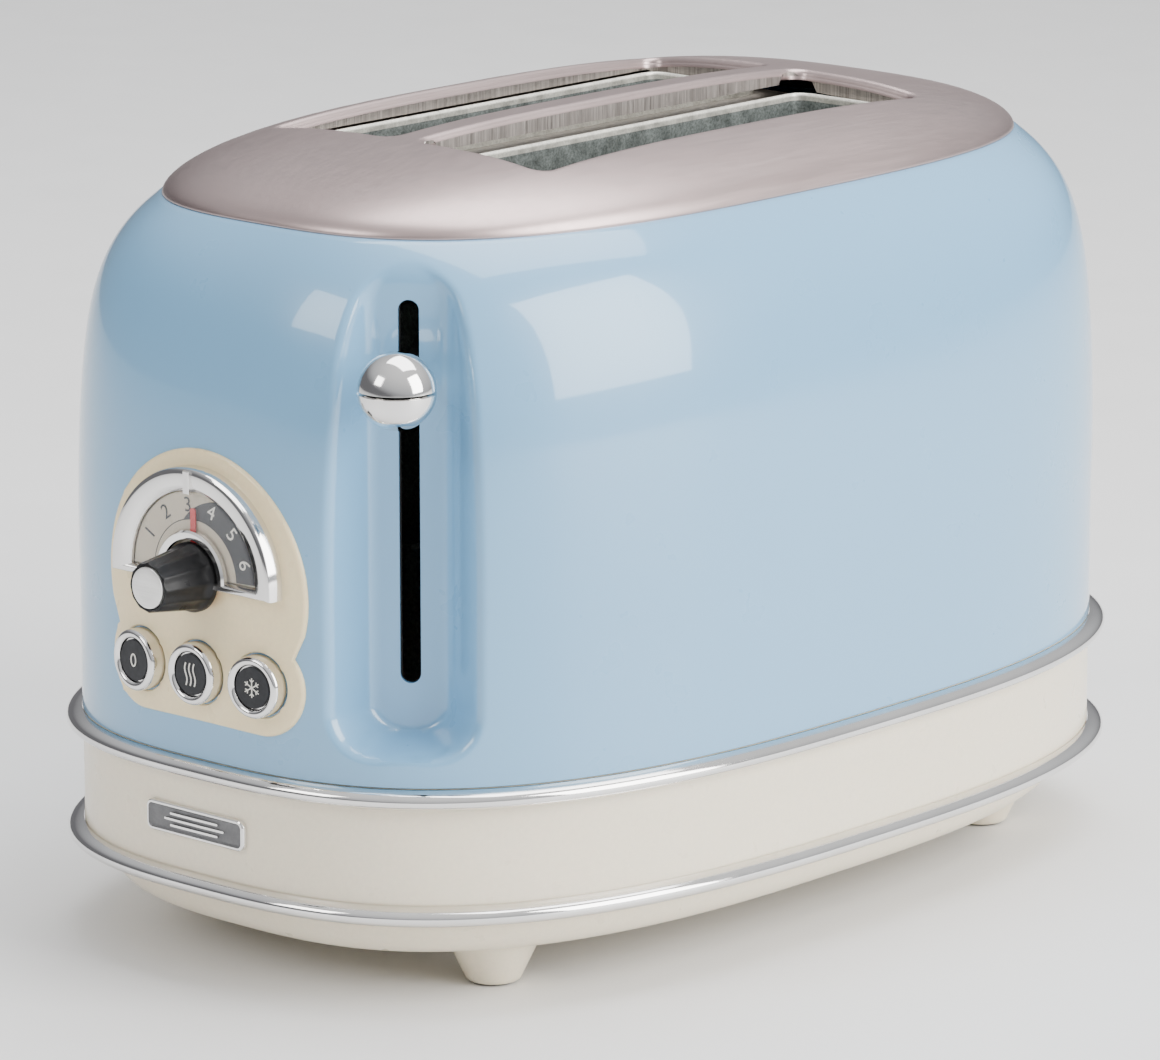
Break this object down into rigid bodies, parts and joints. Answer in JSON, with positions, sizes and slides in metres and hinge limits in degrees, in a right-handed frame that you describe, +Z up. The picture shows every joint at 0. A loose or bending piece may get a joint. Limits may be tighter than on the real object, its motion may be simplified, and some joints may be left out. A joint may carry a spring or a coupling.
{
  "type": "pop up toaster",
  "caption": "Retro pop-up toaster with a domed steel top, long bread slots, front lift lever, browning dial, push buttons and a rear crumb tray.",
  "frame": {"origin": "centre of the bounding box's underside: on the floor, midway across the trim rings and midway from the knob's front to the rear trim", "axes": "+Z up, +Y along the bread slots away from the control end, +X to the right when facing the controls"},
  "size_m": [0.2052, 0.334, 0.2162],
  "materials": {
    "enamel_blue": "gloss enamel over steel, pale blue",
    "brushed_steel": "satin brushed stainless steel",
    "chrome": "polished chrome plate",
    "badge_metal": "grey plate with a bright rim",
    "cream_plastic": "gloss cream moulding",
    "warm_cream": "gloss warm cream moulding",
    "dark_grey_plastic": "matt dark grey with white symbols",
    "black_plastic": "satin black",
    "magnet_body": "matt coil former",
    "silver_cap": "satin silver disc",
    "pointer_red": "matt red",
    "clear_window": "clear window",
    "mica": "natural mica sheet",
    "rubber": "soft black rubber",
    "board_green": "lacquered circuit board",
    "galvanised_steel": "galvanised sheet and wire"
  },
  "bodies": {
    "root": {"base_band": "cream_plastic", "base_pan": "cream_plastic", "base_screw_front_left": "galvanised_steel", "base_screw_front_right": "galvanised_steel", "base_screw_rear_left": "galvanised_steel", "base_screw_rear_right": "galvanised_steel", "control_board": "board_green", "control_fascia": "warm_cream", "cord_gland": "black_plastic", "dial_bezel": "chrome", "dial_face": "warm_cream", "dial_window": "clear_window", "electromagnet": "magnet_body", "foot_pad_front_left": "rubber", "foot_pad_front_right": "rubber", "foot_pad_rear_left": "rubber", "foot_pad_rear_right": "rubber", "front_chassis_plate": "galvanised_steel", "guide_rod": "chrome", "heater_card_left": "mica", "heater_card_middle": "mica", "heater_card_right": "mica", "lever_slot_guide": "black_plastic", "lower_trim_ring": "chrome", "name_badge": "badge_metal", "outer_shell": "enamel_blue", "potentiometer": "galvanised_steel", "rear_chassis_plate": "galvanised_steel", "reflector_left": "galvanised_steel", "reflector_right": "galvanised_steel", "return_spring": "galvanised_steel", "slot_collar": "galvanised_steel", "top_plate": "brushed_steel", "tray_rail_left": "galvanised_steel", "tray_rail_right": "galvanised_steel", "upper_trim_ring": "chrome"},
    "carriage": {"lever_knob_upper": "chrome", "lever_knob_lower": "chrome", "lever_arm": "galvanised_steel", "carriage_plate": "galvanised_steel", "lift_rack_left": "galvanised_steel", "lift_rack_right": "galvanised_steel", "armature_plate": "galvanised_steel"},
    "browning_knob": {"knob_body": "black_plastic", "knob_cap": "silver_cap", "knob_shaft": "galvanised_steel", "dial_pointer": "pointer_red"},
    "cancel_push": {"cancel_button": "chrome", "cancel_button_disc": "dark_grey_plastic"},
    "reheat_push": {"reheat_button": "chrome", "reheat_button_disc": "dark_grey_plastic"},
    "defrost_push": {"defrost_button": "chrome", "defrost_button_disc": "dark_grey_plastic"},
    "tray": {"crumb_tray": "galvanised_steel", "tray_panel": "cream_plastic"},
    "guard_left_a": {"bread_guard_left_a": "galvanised_steel"},
    "guard_left_b": {"bread_guard_left_b": "galvanised_steel"},
    "guard_right_a": {"bread_guard_right_a": "galvanised_steel"},
    "guard_right_b": {"bread_guard_right_b": "galvanised_steel"}
  },
  "joints": [
    {"name": "carriage_slide", "type": "slide", "parent": "root", "child": "carriage", "axis": [0, 0, 1], "range_m": [-0.075, 0.014], "stiffness_N_per_m": 60, "springref_m": 0.02, "deforming": ["return_spring"]},
    {"name": "browning_knob_turn", "type": "hinge", "parent": "root", "child": "browning_knob", "pos_m": [0, -0.14845, 0.1103], "axis": [0, -1, 0], "range_deg": [-56, 56]},
    {"name": "cancel_press", "type": "slide", "parent": "root", "child": "cancel_push", "axis": [0.1005, 0.9949, 0], "range_m": [0, 0.0025], "stiffness_N_per_m": 300, "springref_m": -0.001},
    {"name": "reheat_press", "type": "slide", "parent": "root", "child": "reheat_push", "axis": [0, 1, 0], "range_m": [0, 0.0025], "stiffness_N_per_m": 300, "springref_m": -0.001},
    {"name": "defrost_press", "type": "slide", "parent": "root", "child": "defrost_push", "axis": [-0.1005, 0.9949, 0], "range_m": [0, 0.0025], "stiffness_N_per_m": 300, "springref_m": -0.001},
    {"name": "crumb_tray_slide", "type": "slide", "parent": "root", "child": "tray", "axis": [0, 1, 0], "range_m": [0, 0.2]},
    {"name": "guard_left_a_lean", "type": "hinge", "parent": "root", "child": "guard_left_a", "pos_m": [-0.0433, 0.00765, 0.0475], "axis": [0, 1, 0], "range_deg": [-0.9, 4.6]},
    {"name": "guard_left_b_lean", "type": "hinge", "parent": "root", "child": "guard_left_b", "pos_m": [-0.0103, 0.00765, 0.0475], "axis": [0, 1, 0], "range_deg": [-4.6, 0.9]},
    {"name": "guard_right_a_lean", "type": "hinge", "parent": "root", "child": "guard_right_a", "pos_m": [0.0103, 0.00765, 0.0475], "axis": [0, 1, 0], "range_deg": [-0.9, 4.6]},
    {"name": "guard_right_b_lean", "type": "hinge", "parent": "root", "child": "guard_right_b", "pos_m": [0.0433, 0.00765, 0.0475], "axis": [0, 1, 0], "range_deg": [-4.6, 0.9]}
  ],
  "couplings": [
    {"joint": "guard_left_a_lean", "follows": "carriage_slide", "rad_per_m": -1.0472},
    {"joint": "guard_left_b_lean", "follows": "carriage_slide", "rad_per_m": 1.0472},
    {"joint": "guard_right_a_lean", "follows": "carriage_slide", "rad_per_m": -1.0472},
    {"joint": "guard_right_b_lean", "follows": "carriage_slide", "rad_per_m": 1.0472}
  ]
}
